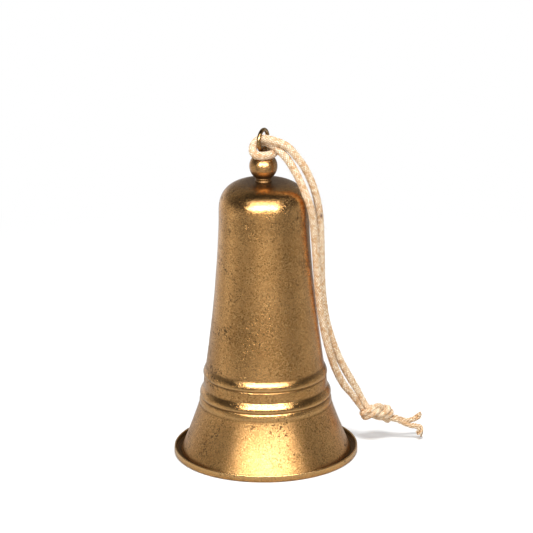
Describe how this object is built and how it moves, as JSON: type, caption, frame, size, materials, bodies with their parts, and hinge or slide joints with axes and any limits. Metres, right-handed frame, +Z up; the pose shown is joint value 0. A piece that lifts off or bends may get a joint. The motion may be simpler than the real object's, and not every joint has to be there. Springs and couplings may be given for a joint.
{
  "type": "hand bell",
  "caption": "Hanging domed bell in antique brass with two ridges, a flared and upturned lip, a ball finial with a wire ring, an inner clapper on a link, and a knotted jute cord loop.",
  "frame": {"origin": "on the bell's axis, in the flat plane of the lip that it stands on", "axes": "+Z up the bell's axis towards the finial; +X towards the side on which the cord hangs; +Y away from the picture's camera"},
  "size_m": [0.132, 0.096, 0.1759],
  "materials": {
    "bell_brass": "antique brass, burnished, fine pitting and brown patina",
    "finial_brass": "antique brass, polished, patina in the joint",
    "ring_wire": "antique brass wire, drawn smooth",
    "hanger_steel": "dull plated steel, light tarnish",
    "clapper_iron": "dark iron with rubbed high spots",
    "jute_cord": "pale plied jute with fuzz"
  },
  "bodies": {
    "root": {"bell_shell": "bell_brass", "finial_ball": "finial_brass", "finial_collar": "finial_brass", "ring_eye": "ring_wire", "clapper_hanger": "hanger_steel", "crown_washer": "hanger_steel", "crown_nut": "hanger_steel", "cord_hitch": "jute_cord", "cord_strand_a": "jute_cord", "cord_strand_b": "jute_cord", "cord_knot": "jute_cord", "cord_tail_a": "jute_cord", "cord_tail_b": "jute_cord"},
    "link": {"clapper_link": "hanger_steel"},
    "clapper": {"clapper_rod": "clapper_iron", "clapper_ball": "clapper_iron", "clapper_nut": "hanger_steel"}
  },
  "joints": [
    {"name": "link_swing", "type": "hinge", "parent": "root", "child": "link", "pos_m": [0, 0, 0.1352], "axis": [1, 0, 0], "range_deg": [-9, 9]},
    {"name": "clapper_swing", "type": "hinge", "parent": "link", "child": "clapper", "pos_m": [0, 0, 0.13015], "axis": [0, 1, 0], "range_deg": [-9, 9]}
  ]
}
